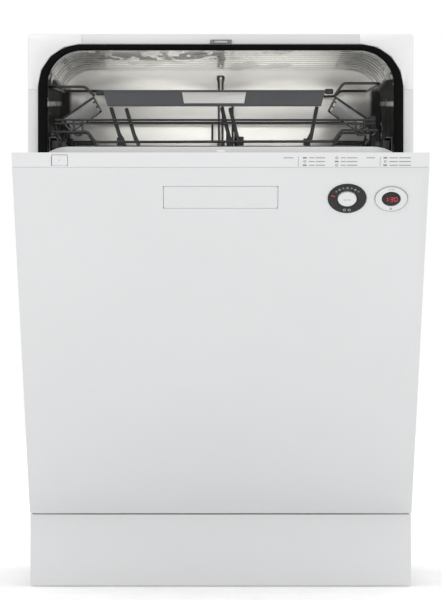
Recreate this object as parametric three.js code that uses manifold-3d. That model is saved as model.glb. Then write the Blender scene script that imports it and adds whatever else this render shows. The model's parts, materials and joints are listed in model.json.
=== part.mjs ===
// Built-in dishwasher, 60 cm wide, with its door part open and both racks at home.
// Millimetres, +Z up, +X to the machine's right as seen from the front, front towards -Y.
// Every piece is drawn in the cabinet's frame (y = 0 is the plane of the front flange, z = 0 the floor)
// with the door shut; the door's group then turns about the hinge pins.
import * as THREE from "three";
import { mergeVertices } from "three/addons/utils/BufferGeometryUtils.js";
import Module from "manifold-3d";

const wasm = await Module();
wasm.setup();

// ---------- Driving dimensions ----------
const CABINET = { half: 298, top: 858, back: 550, corner: 7 };
const TUB = { half: 268, floor: 203, top: 835, front: 14, back: 500, corner: 55 };
const DOOR = { half: 297.5, bottom: 112, top: 851, face: -25, back: -5, wall: 1.5 };
const LINER = { half: 263, bottom: 226, top: 830.7, face: 18, corner: 45 };
const HINGE = { y: 10, z: 207, pin: 5 };
const DOOR_OPEN = THREE.MathUtils.degToRad(43.5);
const STRIP_BOTTOM = 829; // foot of the control strip on the door's top edge
const SHEET = 1.2; // wrapper and flange steel
const GAP = 0.3; // running gap between touching pieces
const RACK_X = -9.5; // the upper rack hangs a little left of the middle
const SPRAY = { x: RACK_X, y: 260 }; // upper spray arm's hub
const SUMP_HUB = { x: 0, y: 265 }; // lower spray arm's hub
const FILTER = { x: 0, y: 172, radius: 48 };
const SALT = { x: -170, y: 170, radius: 24 };
const FLAP = { half: 82, bottom: 750.5, top: 792.5 };
const DIAL = { x: 181.7, z: 769.7, radius: 27.8, hole: 14.2 };
const START = { x: 245, z: 769.2, radius: 23.6, hole: 13.4 };
const POWER = { left: -240.3, right: -218.2 };
const FEET = { x: 255, front: 95, rear: 505 };

// ---------- Solids ----------
function solidOf(geometry) {
  const bare = geometry.index ? geometry.toNonIndexed() : geometry.clone();
  bare.deleteAttribute("normal");
  bare.deleteAttribute("uv");
  const merged = mergeVertices(bare, 1e-3);
  const triVerts = new Uint32Array(merged.index.array);
  const vertProperties = merged.attributes.position.array;
  return new wasm.Manifold(new wasm.Mesh({ numProp: 3, vertProperties, triVerts }));
}

function geometryOf(made) {
  const { vertProperties, triVerts } = made.getMesh();
  return new THREE.BufferGeometry()
    .setAttribute("position", new THREE.BufferAttribute(vertProperties, 3))
    .setIndex(new THREE.BufferAttribute(triVerts, 1));
}

const join = (...pieces) => geometryOf(pieces.map(solidOf).reduce((a, b) => a.add(b)));
const cut = (piece, ...tools) =>
  geometryOf(tools.map(solidOf).reduce((a, b) => a.subtract(b), solidOf(piece)));

function box([x0, x1], [y0, y1], [z0, z1]) {
  return new THREE.BoxGeometry(x1 - x0, y1 - y0, z1 - z0)
    .translate((x0 + x1) / 2, (y0 + y1) / 2, (z0 + z1) / 2);
}

const outline = (points) => new THREE.Shape(points.map(([a, b]) => new THREE.Vector2(a, b)));
const extrude = (shape, depth) =>
  new THREE.ExtrudeGeometry(shape, { depth, bevelEnabled: false, curveSegments: 6 });
// a shape drawn in x and z, with its thickness along y
const plateXZ = (shape, [y0, y1]) =>
  extrude(shape, y1 - y0).rotateX(Math.PI / 2).translate(0, y1, 0);
// a shape drawn in x and y, with its thickness along z
const plateXY = (shape, [z0, z1]) => extrude(shape, z1 - z0).translate(0, 0, z0);
// a shape drawn in y and z, with its thickness along x
const TO_YZ = new THREE.Matrix4().set(0, 0, 1, 0, 1, 0, 0, 0, 0, 1, 0, 0, 0, 0, 0, 1);
const plateYZ = (shape, [x0, x1]) => extrude(shape, x1 - x0).applyMatrix4(TO_YZ).translate(x0, 0, 0);

// a round bar between two points
function rod(radius, from, to, sides = 12) {
  const a = new THREE.Vector3(...from);
  const b = new THREE.Vector3(...to);
  const turn = new THREE.Quaternion().setFromUnitVectors(
    new THREE.Vector3(0, 1, 0), b.clone().sub(a).normalize());
  const middle = a.clone().add(b).multiplyScalar(0.5);
  return new THREE.CylinderGeometry(radius, radius, a.distanceTo(b), sides)
    .applyQuaternion(turn).translate(middle.x, middle.y, middle.z);
}

// a profile of [radius, height] points turned about the y axis, from the axis or closed on itself
function turned(points, sides) {
  const profile = points.map(([r, h]) => new THREE.Vector2(r, h));
  if (THREE.ShapeUtils.area(profile) < 0) profile.reverse();
  return new THREE.LatheGeometry(profile, sides);
}
const turnedY = (points, { x, z }, sides = 24) => turned(points, sides).translate(x, 0, z);
const turnedZ = (points, { x, y }, sides = 20) =>
  turned(points, sides).rotateX(Math.PI / 2).translate(x, y, 0);

// an upright outline with two round top corners
function arch(half, bottom, top, corner) {
  return new THREE.Shape()
    .moveTo(-half, bottom).lineTo(half, bottom).lineTo(half, top - corner)
    .absarc(half - corner, top - corner, corner, 0, Math.PI / 2, false)
    .absarc(corner - half, top - corner, corner, Math.PI / 2, Math.PI, false);
}

// an arch-shaped band, open at its foot
function archBand(outer, inner, bottom, [y0, y1]) {
  return cut(
    plateXZ(arch(outer.half, bottom, outer.top, outer.corner), [y0, y1]),
    plateXZ(arch(inner.half, bottom - 5, inner.top, inner.corner), [y0 - 1, y1 + 1]));
}

// a shape of even width along a line of points, with mitred corners
function ribbon(points, width) {
  const at = points.map(([a, b]) => new THREE.Vector2(a, b));
  const side = (sign) => at.map((p, i) => {
    const before = p.clone().sub(at[Math.max(i - 1, 0)]).normalize();
    const after = at[Math.min(i + 1, at.length - 1)].clone().sub(p).normalize();
    const along = before.clone().add(after).normalize();
    const stretch = 1 / Math.max(0.3, along.dot(i ? before : after));
    return p.clone().add(new THREE.Vector2(-along.y, along.x).multiplyScalar(sign * width * stretch / 2));
  });
  return new THREE.Shape([...side(1), ...side(-1).reverse()]);
}

// a row of upright prongs on a foot bar, in y and z about the foot's centre
function comb(length, count, height, prong) {
  const pitch = (length - prong) / (count - 1);
  const points = [[length, -2], [0, -2]];
  for (let i = 0; i < count; i++) {
    const y = i * pitch;
    points.push([y, height], [y + prong, height], [y + prong, 2], [y + pitch, 2]);
  }
  points.pop();
  points.pop();
  points.push([length, height], [length, -2]);
  return outline(points.filter(([a, b], i) => !i || a !== points[i - 1][0] || b !== points[i - 1][1]));
}

// ---------- Scene graph ----------
const finish = (color, roughness, metalness) =>
  new THREE.MeshStandardMaterial({ color, roughness, metalness, flatShading: true });
const WHITE = finish(0xe9eaea, 0.35, 0);
const STEEL = finish(0xc9cccf, 0.22, 1);
const ZINC = finish(0xb4b8bb, 0.45, 1);
const BLACK_WIRE = finish(0x1c1d1f, 0.5, 0);
const RUBBER = finish(0x101112, 0.8, 0);
const DARK_GREY = finish(0x5a5c5f, 0.5, 0);
const GREY = finish(0x8c9094, 0.55, 0);
const DIAL_GREY = finish(0x3b3d40, 0.4, 0);
const LENS = finish(0x14161a, 0.1, 0);
const BLUE = finish(0x3f6f9f, 0.45, 0);

const machine = new THREE.Group();
const door = new THREE.Group();
door.position.set(0, HINGE.y, HINGE.z);
door.rotation.x = DOOR_OPEN;
const doorShut = new THREE.Group();
doorShut.position.set(0, -HINGE.y, -HINGE.z);
door.add(doorShut);
machine.add(door);

function add(parent, name, geometry, material, position = [0, 0, 0], turnY = 0) {
  const mesh = new THREE.Mesh(geometry, material);
  mesh.name = name;
  mesh.position.set(...position);
  mesh.rotation.y = turnY;
  parent.add(mesh);
}
const fixed = (...piece) => add(machine, ...piece);
const onDoor = (...piece) => add(doorShut, ...piece);
const SIDES = [["left", -1], ["right", 1]];
const span = (side, a, b) => (side < 0 ? [-b, -a] : [a, b]); // from a to b outwards on one side

// ---------- Base ----------
function baseTray() {
  const shell = plateYZ(outline([
    [66, 24], [545, 24], [545, 188], [118, 188], [118, 100], [66, 100]]), [-290, 290]);
  const hollow = plateYZ(outline([
    [69, 27], [542, 27], [542, 200], [121, 200], [121, 97], [69, 97]]), [-287, 287]);
  const stemHoles = SIDES.flatMap(([, side]) =>
    [FEET.front, FEET.rear].map((y) => rod(7, [side * FEET.x, y, 20], [side * FEET.x, y, 30], 10)));
  const lugs = SIDES.map(([, side]) => {
    const nose = new THREE.Shape().moveTo(140, 219).lineTo(HINGE.y, 219)
      .absarc(HINGE.y, HINGE.z, 12, Math.PI / 2, 1.5 * Math.PI, false)
      .lineTo(119.5, 195).lineTo(119.5, 150).lineTo(140, 150);
    return cut(plateYZ(nose, span(side, 276.2, 281.8)),
      rod(HINGE.pin + 0.5, [side * 270, HINGE.y, HINGE.z], [side * 290, HINGE.y, HINGE.z], 16));
  });
  return join(cut(shell, hollow, ...stemHoles), ...lugs);
}
fixed("base_tray", baseTray(), GREY);

fixed("kickplate", cut(
  box([-297, 297], [52, 65.5], [1, 112.5]),
  box([-295.5, 295.5], [53.5, 70], [2.5, 111])), WHITE);

for (const [side, sign] of SIDES)
  for (const end of ["front", "rear"]) {
    const spot = { x: sign * FEET.x, y: FEET[end] };
    fixed(`foot_${end}_${side}`,
      turnedZ([[0, 0], [20, 0], [20, 6], [8, 10], [6, 12], [6, 72], [0, 72]], spot, 14), GREY);
  }

// ---------- Tub and shell ----------
const wall = (extra) => ({ half: TUB.half + extra, top: TUB.top + extra, corner: TUB.corner + extra });
fixed("tub_wrapper",
  archBand(wall(SHEET), wall(0), TUB.floor + GAP, [TUB.front, TUB.back]), STEEL);
fixed("tub_back", plateXZ(
  arch(TUB.half + SHEET, TUB.floor + GAP, TUB.top + SHEET, TUB.corner + SHEET),
  [TUB.back + GAP, TUB.back + GAP + SHEET]), STEEL);

const floorRim = outline([
  [TUB.front, TUB.floor - 3], [TUB.back + 1.5, TUB.floor - 3], [TUB.back + 1.5, TUB.floor],
  [TUB.front + 2, TUB.floor], [TUB.front + 2, 217], [TUB.front, 217]]);
const floorHole = ({ x, y }, radius) => rod(radius, [x, y, 190], [x, y, 210], 24);
fixed("tub_floor", cut(plateYZ(floorRim, [-TUB.half + GAP, TUB.half - GAP]),
  floorHole(FILTER, FILTER.radius), floorHole(SUMP_HUB, 12), floorHole(SALT, SALT.radius + 1)), STEEL);

fixed("front_frame", archBand(CABINET, { half: 282.3, top: 842.3, corner: 66.3 }, 200, [0, 2]), ZINC);
for (const [side, sign] of SIDES) {
  const plate = new THREE.Shape()
    .moveTo(-297.4, 773).lineTo(-282.6, 773).lineTo(-282.6, 776)
    .absarc(-216.6, 776.6, 66, Math.PI, Math.PI / 2, true)
    .lineTo(-215, 842.6).lineTo(-215, 857.4).lineTo(-290.9, 857.4)
    .absarc(-290.9, 850.9, 6.5, Math.PI / 2, Math.PI, false);
  const made = plateXZ(plate, [-1.1, -GAP]);
  fixed(`corner_plate_${side}`, sign < 0 ? made : made.rotateZ(Math.PI).translate(0, -1.1 - GAP, 0), ZINC);
}
fixed("door_seal", archBand(
  { half: 282, top: 842, corner: 66 }, { half: 268.4, top: 833.4, corner: 54 }, 232, [-4, 13.5]), RUBBER);
fixed("latch_strike", cut(box([-16.5, 17], [-3.4, -GAP], [843, 849.3]),
  box([-10, 10.5], [-5, 1], [844.6, 847.8])), ZINC);

const flank = outline([
  [2.4, 200], [116, 200], [116, 30], [548, 30], [548, 851], [2.4, 851]]);
for (const [side, sign] of SIDES)
  fixed(`side_panel_${side}`, join(
    plateYZ(flank, span(sign, 296.8, 297.8)),
    box(span(sign, 272, 297.8), [30, 548], [850, 851]),
    box(span(sign, 274, 297.8), [547, 548], [130, 851])), ZINC);

// ---------- Water works ----------
fixed("feed_pipe", join(
  rod(4.8, [0, 493.5, TUB.floor + GAP], [0, 493.5, 822], 10),
  rod(8, [RACK_X, 484, 688.5], [RACK_X, 492, 688.5], 10)), STEEL);
fixed("sump", join(
  cut(box([-90, 90], [122, 318], [110, 199.7]), box([-87, 87], [125, 315], [113, 210])),
  rod(9, [SUMP_HUB.x, SUMP_HUB.y, 111], [SUMP_HUB.x, SUMP_HUB.y, 215.5], 12)), GREY);
fixed("circulation_pump", join(
  rod(36, [90.4, 210, 148], [130, 210, 148], 18), rod(30, [125, 210, 148], [232, 210, 148], 16)), GREY);
fixed("softener", cut(
  join(box([-262, -110], [130, 300], [45, 185]), rod(SALT.radius, [SALT.x, SALT.y, 180], [SALT.x, SALT.y, 202], 20)),
  rod(SALT.radius - 3, [SALT.x, SALT.y, 60], [SALT.x, SALT.y, 220], 20)), GREY);
fixed("filter_cup", turnedZ([
  [41, 150], [43.5, 150], [43.5, 203.3], [56, 203.3], [56, 206], [43.5, 206.5], [43.5, 213], [41, 213], [41, 150]],
FILTER, 24), GREY);
fixed("salt_cap", turnedZ([
  [0, 192], [SALT.radius - 4, 192], [SALT.radius - 4, 203.4], [30, 203.4], [30, 210], [12, 214], [0, 214]],
SALT, 18), GREY);

// a blade on a hub, tapered to both ends
function sprayArm({ x, y }, reach, [low, high], hub) {
  const blade = outline([
    [x - reach, y - 10], [x, y - 19], [x + reach, y - 10], [x + reach, y + 10], [x, y + 19], [x - reach, y + 10]]);
  return join(plateXY(blade, [low, high]), rod(hub.radius, [x, y, hub.low], [x, y, hub.high], 14));
}
fixed("lower_spray_arm", sprayArm(SUMP_HUB, 222, [218.5, 228], { radius: 20, low: 216, high: 232 }), GREY);

// ---------- Rails ----------
for (const [side, sign] of SIDES) {
  const channel = ribbon([[256, 699], [266, 699], [266, 677], [256, 677]].map(([x, z]) => [sign * x, z]), 2);
  fixed(`rail_${side}`, plateXZ(channel, [20, 486]), ZINC);
  fixed(`slider_${side}`, box(span(sign, 252, 263), [24, 470], [681, 695]), STEEL);
}

// ---------- Balance springs ----------
for (const [side, sign] of SIDES)
  fixed(`balance_spring_${side}`, rod(8, [sign * 275.5, 180, 60], [sign * 275.5, 420, 60], 10), ZINC);

// ---------- Door ----------
const flapHole = box([-FLAP.half - 0.5, FLAP.half + 0.5], [-40, 0], [FLAP.bottom - 0.5, FLAP.top + 0.5]);
const through = ({ x, z }, radius) => rod(radius, [x, -40, z], [x, -12, z], 24);
onDoor("door_panel", cut(
  box([-DOOR.half, DOOR.half], [DOOR.face, DOOR.back], [DOOR.bottom, STRIP_BOTTOM - GAP]),
  box([DOOR.wall - DOOR.half, DOOR.half - DOOR.wall], [DOOR.face + DOOR.wall, 5], [DOOR.bottom + DOOR.wall, STRIP_BOTTOM - 2]),
  box([138, 288], [-18.3, -8.7], [820, 835]),
  flapHole, through(DIAL, DIAL.radius + 0.4), through(START, START.radius + 0.4)), WHITE);

function controlStrip() {
  const cap = plateYZ(outline([
    [DOOR.face, STRIP_BOTTOM], [-19.5, DOOR.top], [-18, DOOR.top], [DOOR.back, 838], [DOOR.back, STRIP_BOTTOM]]),
  [-DOOR.half, DOOR.half]);
  const housing = box([140, 286], [-18, -9], [735, STRIP_BOTTOM + 2]);
  const buttonPocket = box([POWER.left - 0.4, POWER.right + 0.4], [-40, -17], [831.6, 848.4]);
  const latchPocket = box([-12, 12], [-14, 0], [832, 848]);
  return cut(join(cap, housing), buttonPocket, latchPocket);
}
onDoor("control_strip", controlStrip(), WHITE);

function doorLiner() {
  const tray = plateXZ(arch(LINER.half, LINER.bottom, LINER.top, LINER.corner), [-7.5, LINER.face]);
  const inside = plateXZ(
    arch(LINER.half - 1.5, LINER.bottom + 1.5, 826.8, LINER.corner - 1.5), [-9, LINER.face - 1.5]);
  const flange = cut(box([-295.5, 295.5], [-7.5, -5.4], [LINER.bottom, 826.5]), inside);
  const underStrip = box([-300, 300], [-10, -4.6], [826.6, 840]);
  return join(cut(tray, inside, underStrip), flange);
}
onDoor("door_liner", doorLiner(), STEEL);

onDoor("handle_recess", cut(
  box([-90, 90], [-23.2, 12], [735, 800]), box([-88, 88], [-30, 10], [737, 798])), DARK_GREY);
onDoor("handle_flap", join(
  box([-FLAP.half, FLAP.half], [DOOR.face, DOOR.face + 3], [FLAP.bottom, FLAP.top - 0.4]),
  rod(2, [-FLAP.half + 1, -21.5, FLAP.top - 3], [FLAP.half - 1, -21.5, FLAP.top - 3], 8)), WHITE);

onDoor("dial_ring", turnedY([
  [DIAL.hole, -20], [DIAL.hole, -26.5], [DIAL.radius - 1.5, -27], [DIAL.radius, -26], [DIAL.radius, -20],
  [DIAL.hole, -20]], DIAL, 32), DIAL_GREY);
onDoor("select_button", turnedY([
  [0, -20], [0, -28.5], [10, -28.2], [DIAL.hole - 0.5, -27], [DIAL.hole - 0.5, -20], [0, -20]], DIAL), WHITE);
onDoor("start_button", turnedY([
  [START.hole, -21.5], [START.hole, -26], [START.radius - 1, -26.2], [START.radius, -25.4], [START.radius, -21.5],
  [START.hole, -21.5]], START, 28), WHITE);
onDoor("display_lens", turnedY([
  [0, -22.5], [0, -26.6], [START.hole - 0.4, -26.2], [START.hole - 0.4, -22.5], [0, -22.5]], START), LENS);
onDoor("power_button", plateYZ(outline([
  [-24.4, 832.2], [-20.6, 847.8], [-19.4, 847.8], [-23.2, 832.2]]), [POWER.left, POWER.right]), WHITE);

onDoor("dispenser", cut(box([-75, 75], [LINER.face + GAP, 27], [500, 640]),
  box([-67, 7], [22, 30], [516, 604])), GREY);
onDoor("dispenser_lid", box([-66, 6], [27.4, 30], [516, 604]), GREY);
onDoor("rinse_cap", join(
  turnedY([[0, 27.4], [17, 27.4], [17, 30], [0, 30], [0, 27.4]], { x: 42, z: 570 }, 18),
  box([40, 44], [29, 33], [556, 584])), GREY);
onDoor("latch_hook", plateYZ(outline([
  [-12, 834], [-8, 834], [-8, 842], [-5.6, 842], [-5.6, 845], [-12, 845]]), [-6, 6]), ZINC);

for (const [side, sign] of SIDES) {
  const arm = new THREE.Shape().moveTo(-21, 420).lineTo(-21, 190).lineTo(-9, 190).lineTo(HINGE.y, HINGE.z - 10)
    .absarc(HINGE.y, HINGE.z, 10, 1.5 * Math.PI, 2.5 * Math.PI, false)
    .lineTo(0, 221).lineTo(-9.5, 226).lineTo(-9.5, 420);
  onDoor(`hinge_arm_${side}`, join(plateYZ(arm, span(sign, 270, 275)),
    rod(HINGE.pin, [sign * 272, HINGE.y, HINGE.z], [sign * 284, HINGE.y, HINGE.z], 16)), ZINC);
}

// ---------- Upper rack ----------
function wireRack(profile, ribs, runs, [front, back]) {
  const frames = ribs.map((y) => plateXZ(ribbon(profile, 4), [y, y + 4]));
  const long = runs.map(([x, z]) => box([x - 1.7, x + 1.7], [front, back], [z - 1.7, z + 1.7]));
  return [...frames, ...long];
}

function upperBasket() {
  const profile = [
    [-264, 785], [-258, 710], [-208, 710], [-197, 694], [176, 694], [189, 710], [240, 710], [246, 785]];
  const runs = [
    [-263.8, 783], [-257, 710], [-197, 694], [-103, 694], [-10, 694], [83, 694], [176, 694], [239, 710],
    [245.8, 783]];
  const cross = (z, y) => {
    const lean = (z - 710) * 0.08;
    return box([-258 - lean, 240 + lean], [y, y + 3.4], [z - 1.7, z + 1.7]);
  };
  const lug = (x, y) => box(x, [y - 5, y + 9], [683, 713]);
  const lugs = [110, 414].flatMap((y) => [lug([-251.6, -245], y), lug([238, 251.6], y)]);
  return join(...wireRack(profile, [34, 110, 186, 262, 338, 414, 476], runs, [35, 479]), ...lugs,
    cross(727, 34.3), cross(721, 34.3), cross(740, 476.3), cross(783, 476.3),
    box([RACK_X - 12, RACK_X + 12], [250, 479], [685, 692.6]),
    rod(16, [SPRAY.x, SPRAY.y, 685], [SPRAY.x, SPRAY.y, 692.6], 14));
}
fixed("upper_basket", upperBasket(), BLACK_WIRE);
fixed("upper_handle", plateXZ(outline([
  [-183, 773], [-176, 748], [156, 748], [163, 773]]), [22, 33.5]), DARK_GREY);
fixed("upper_spray_arm", sprayArm(SPRAY, 205, [674, 682], { radius: 16, low: 672.5, high: 684.6 }), GREY);

// fold-down prong rows, each drawn upright about its pivot and turned to its stored lean
const TINES = { pivot: 699.5, front: 62, length: 400, count: 7, height: 50 };
for (const [place, x, lean] of [["left", -157, -16.7], ["middle", 14, -14], ["right", 141, 11]])
  fixed(`upper_tines_${place}`, plateYZ(comb(TINES.length, TINES.count, TINES.height, 4), [-2, 2]),
    BLACK_WIRE, [x, TINES.front, TINES.pivot], THREE.MathUtils.degToRad(lean));

const SHELF = { pivot: 729, front: 66, length: 390, width: 64, slope: 34.6, bars: 5 };
function cupShelf() {
  const { width, length, bars } = SHELF;
  const slot = (length - 6) / bars;
  const windows = Array.from({ length: bars }, (_, i) =>
    box([6, width - 6], [6 + i * slot, i * slot + slot], [-5, 5]));
  return cut(box([0, width], [0, length], [-1.5, 1.5]), ...windows);
}
fixed("cup_shelf_left", cupShelf(), BLACK_WIRE, [-250, SHELF.front, SHELF.pivot],
  -THREE.MathUtils.degToRad(SHELF.slope));
fixed("cup_shelf_right", cupShelf().rotateZ(Math.PI).translate(0, SHELF.length, 0), BLACK_WIRE, [231, SHELF.front, SHELF.pivot],
  THREE.MathUtils.degToRad(SHELF.slope));

// ---------- Lower rack ----------
const WHEEL = { x: 254.6, z: 220, radius: 16.6, width: 7, bore: 4.3 };
const AXLES = { front: 88, rear: 430 };
function lowerBasket() {
  const profile = [[-258, 335], [-250, 242], [250, 242], [258, 335]];
  const runs = [[-257.8, 333], [-249, 242], [-125, 242], [0, 242], [125, 242], [249, 242], [257.8, 333]];
  const cross = (z, y) => {
    const reach = 250 + (z - 242) * 0.086;
    return box([-reach, reach], [y, y + 3.4], [z - 1.7, z + 1.7]);
  };
  const axles = Object.values(AXLES).flatMap((y) => SIDES.flatMap(([, sign]) => [
    box(span(sign, 247.6, 251.6), [y - 8, y + 8], [214, 243]),
    rod(3.6, [sign * 250, y, WHEEL.z], [sign * 262.6, y, WHEEL.z], 10)]));
  return join(...wireRack(profile, [44, 130, 216, 302, 388, 472], runs, [45, 475]), ...axles,
    cross(333, 472.3), cross(288, 472.3), cross(333, 44.3), cross(288, 44.3));
}
fixed("lower_basket", lowerBasket(), BLACK_WIRE);
fixed("lower_tines", plateXZ(comb(440, 9, 80, 4), [-2, 2]).translate(-220, 0, 0), BLACK_WIRE, [0, 300, 248]);
fixed("cutlery_basket", cut(
  box([30, 236], [52, 128], [246, 376]), box([32, 234], [54, 126], [248, 380])), DARK_GREY);
for (const [end, y] of Object.entries(AXLES))
  for (const [side, sign] of SIDES) {
    const rim = [[WHEEL.bore, 0], [WHEEL.radius, 0], [WHEEL.radius, WHEEL.width], [WHEEL.bore, WHEEL.width],
      [WHEEL.bore, 0]];
    const wheel = turned(rim, 20)
      .rotateZ(-Math.PI / 2).translate(sign < 0 ? -WHEEL.x - WHEEL.width : WHEEL.x, y, WHEEL.z);
    fixed(`lower_wheel_${end}_${side}`, wheel, BLUE);
  }

// ---------- Frame: the middle of the open machine's foot print is the origin ----------
const doorFront = HINGE.y + (DOOR.face + 5.5 - HINGE.y) * Math.cos(DOOR_OPEN)
  - (DOOR.top - HINGE.z) * Math.sin(DOOR_OPEN);
machine.position.y = -(doorFront + CABINET.back - 2) / 2;

export default machine;
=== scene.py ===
"""Looks of a built-in dishwasher, modelled piece by piece round its packed mechanical frame."""
import json
import math

import bmesh
import bpy
from bpy.props import FloatProperty, FloatVectorProperty, IntProperty, PointerProperty
from mathutils import Matrix, Vector

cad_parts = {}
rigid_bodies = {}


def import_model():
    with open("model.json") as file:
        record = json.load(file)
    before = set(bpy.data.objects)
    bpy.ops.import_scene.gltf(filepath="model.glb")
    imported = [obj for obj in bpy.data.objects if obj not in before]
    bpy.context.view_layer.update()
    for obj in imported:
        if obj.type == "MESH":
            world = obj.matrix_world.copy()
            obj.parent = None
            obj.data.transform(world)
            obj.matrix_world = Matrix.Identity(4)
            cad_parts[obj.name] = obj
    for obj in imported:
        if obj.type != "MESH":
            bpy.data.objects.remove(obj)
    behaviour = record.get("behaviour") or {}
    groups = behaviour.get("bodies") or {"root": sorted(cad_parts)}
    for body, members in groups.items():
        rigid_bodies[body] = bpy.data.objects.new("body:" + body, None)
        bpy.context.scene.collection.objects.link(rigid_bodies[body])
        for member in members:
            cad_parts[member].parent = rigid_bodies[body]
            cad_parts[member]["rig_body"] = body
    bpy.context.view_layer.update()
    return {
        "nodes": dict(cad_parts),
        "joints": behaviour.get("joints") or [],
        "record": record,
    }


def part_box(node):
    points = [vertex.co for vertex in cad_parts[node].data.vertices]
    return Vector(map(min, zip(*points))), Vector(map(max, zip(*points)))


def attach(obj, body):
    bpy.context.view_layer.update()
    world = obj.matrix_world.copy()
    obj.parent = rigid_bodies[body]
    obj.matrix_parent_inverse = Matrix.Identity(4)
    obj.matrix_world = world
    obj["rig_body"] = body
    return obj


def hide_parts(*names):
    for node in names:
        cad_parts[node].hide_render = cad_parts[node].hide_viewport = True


bl_info = {
    "name": "Built-in dishwasher",
    "version": (1, 0, 0),
    "blender": (4, 5, 0),
    "location": "3D View > Sidebar > Dishwasher",
    "description": "Builds a built-in dishwasher with its racks, tub, door and controls",
    "category": "Add Mesh",
}

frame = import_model()

# ---------- Places taken from the frame ----------
MM = 0.001
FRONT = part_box("front_frame")[0].y  # plane of the cabinet's front flange
JOINTS = {joint["name"]: joint for joint in frame["joints"]}
HINGE = Vector(JOINTS["door_hinge"]["pos_m"])
OPEN = -math.radians(JOINTS["door_hinge"]["range_deg"][0])  # how far the door stands open
SIDES = (("left", -1), ("right", 1))
BODY_OF = {name: node["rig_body"] for name, node in frame["nodes"].items()}

CAMERA_BACK = 5.650  # metres in front of the flange
CAMERA_HEIGHT = 0.425
CAMERA_TILT = math.radians(90.22)
CAMERA_LENS = 219.2
TUB_HALF, TUB_TOP, TUB_CORNER = 268, 835, 55  # the tub's inside, in millimetres
TUB_FRONT, TUB_REAR, TUB_LOW = 14, 500, 203.3
RACK_FRONT, RACK_BACK = 37, 476  # the upper rack's wires, from the flange
HANDLE_LEFT, HANDLE_RIGHT = -183, 163
STRIP_FACE, STRIP_FOOT = -25, 829  # the control strip's face where its slope begins, door shut


def at(x, y, z):
    """A point in millimetres from the middle, the front flange and the floor, in the row's metres."""
    return Vector((x * MM, FRONT + y * MM, z * MM))


def shut_box(node):
    """The lowest and highest corner, in millimetres, of a door node with the door shut."""
    back = Matrix.Rotation(-OPEN, 3, "X")
    points = [back @ (v.co - HINGE) + HINGE for v in frame["nodes"][node].data.vertices]
    low, high = (Vector([pick(p[i] for p in points) for i in range(3)]) for pick in (min, max))
    return [Vector((p.x, p.y - FRONT, p.z)) / MM for p in (low, high)]


def shut_middle(node):
    """Where a door node's middle is with the door shut: across and up, in millimetres."""
    low, high = shut_box(node)
    return round((low.x + high.x) / 2, 1), round((low.z + high.z) / 2, 1)


# ---------- Modelling by hand ----------
def only(*objects):
    """Selects these objects and nothing else."""
    if bpy.context.object and bpy.context.object.mode != "OBJECT":
        bpy.ops.object.mode_set(mode="OBJECT")
    bpy.ops.object.select_all(action="DESELECT")
    for obj in objects:
        obj.select_set(True)
    if objects:
        bpy.context.view_layer.objects.active = objects[0]


def settle(obj, name=None):
    """Moves an object's place, turn and size into its mesh."""
    only(obj)
    bpy.ops.object.transform_apply(location=True, rotation=True, scale=True)
    if name:
        obj.name = obj.data.name = name
    return obj


class Editing:
    """Edit mode on one object, starting with nothing or the whole mesh selected."""

    def __init__(self, obj, kind="FACE", whole=False):
        self.obj, self.kind, self.whole = obj, kind, whole

    def __enter__(self):
        only(self.obj)
        bpy.ops.object.mode_set(mode="EDIT")
        bpy.ops.mesh.select_mode(type=self.kind)
        bpy.ops.mesh.select_all(action="SELECT" if self.whole else "DESELECT")
        return self

    def __exit__(self, *_):
        bpy.ops.object.mode_set(mode="OBJECT")

    def pick(self, test):
        """Selects faces that pass a test on middle and normal, or edges on middle and direction."""
        mesh = bmesh.from_edit_mesh(self.obj.data)
        for item in mesh.faces if self.kind == "FACE" else mesh.edges:
            if self.kind == "FACE":
                middle, way = item.calc_center_median(), item.normal
            else:
                a, b = (v.co for v in item.verts)
                middle, way = (a + b) / 2, (b - a).normalized()
            item.select = bool(test(middle, way))
        mesh.select_flush_mode()
        bmesh.update_edit_mesh(self.obj.data)
        return self


def block(name, low, high):
    """A box between two corners in millimetres."""
    only()
    low, high = at(*low), at(*high)
    bpy.ops.mesh.primitive_cube_add(size=1, location=(low + high) / 2)
    obj = bpy.context.object
    obj.scale = high - low
    return settle(obj, name)


def modify(obj, kind, **settings):
    """Adds a modifier and applies it."""
    only(obj)
    made = obj.modifiers.new(kind.title(), kind)
    for key, value in settings.items():
        setattr(made, key, value)
    bpy.ops.object.modifier_apply(modifier=made.name)
    return obj


def soften(obj, width, segments=3, angle=30):
    """Rounds the sharp edges, width in millimetres."""
    modify(obj, "BEVEL", width=width * MM, segments=segments, limit_method="ANGLE",
           angle_limit=math.radians(angle), harden_normals=False, use_clamp_overlap=True)
    return smooth(obj)


def smooth(obj, angle=35):
    only(obj)
    bpy.ops.object.shade_smooth_by_angle(angle=math.radians(angle))
    return obj


def face_out(obj):
    """Merges doubles and turns every face outwards."""
    with Editing(obj, "VERT", whole=True):
        bpy.ops.mesh.remove_doubles(threshold=1e-6)
        bpy.ops.mesh.normals_make_consistent(inside=False)
    return obj


def round_edges(obj, along, test, width, segments=6):
    """Rounds the edges that run along one axis (0, 1 or 2) and pass a test on their middle."""
    with Editing(obj, "EDGE") as edit:
        edit.pick(lambda middle, way: abs(way[along]) > 0.99 and test(middle))
        bpy.ops.mesh.bevel(offset=width * MM, segments=segments, affect="EDGES")
    return obj


def facing(x=0, y=0, z=0):
    """A test for the faces that look along a direction."""
    return lambda middle, way: way.dot(Vector((x, y, z))) > 0.9


def press(obj, test, *steps):
    """Insets the faces that pass a test, once for each (inset, rise) in millimetres."""
    with Editing(obj) as edit:
        edit.pick(test)
        for inset, rise in steps:
            bpy.ops.mesh.inset(thickness=inset * MM, depth=rise * MM)
    return obj


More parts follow.
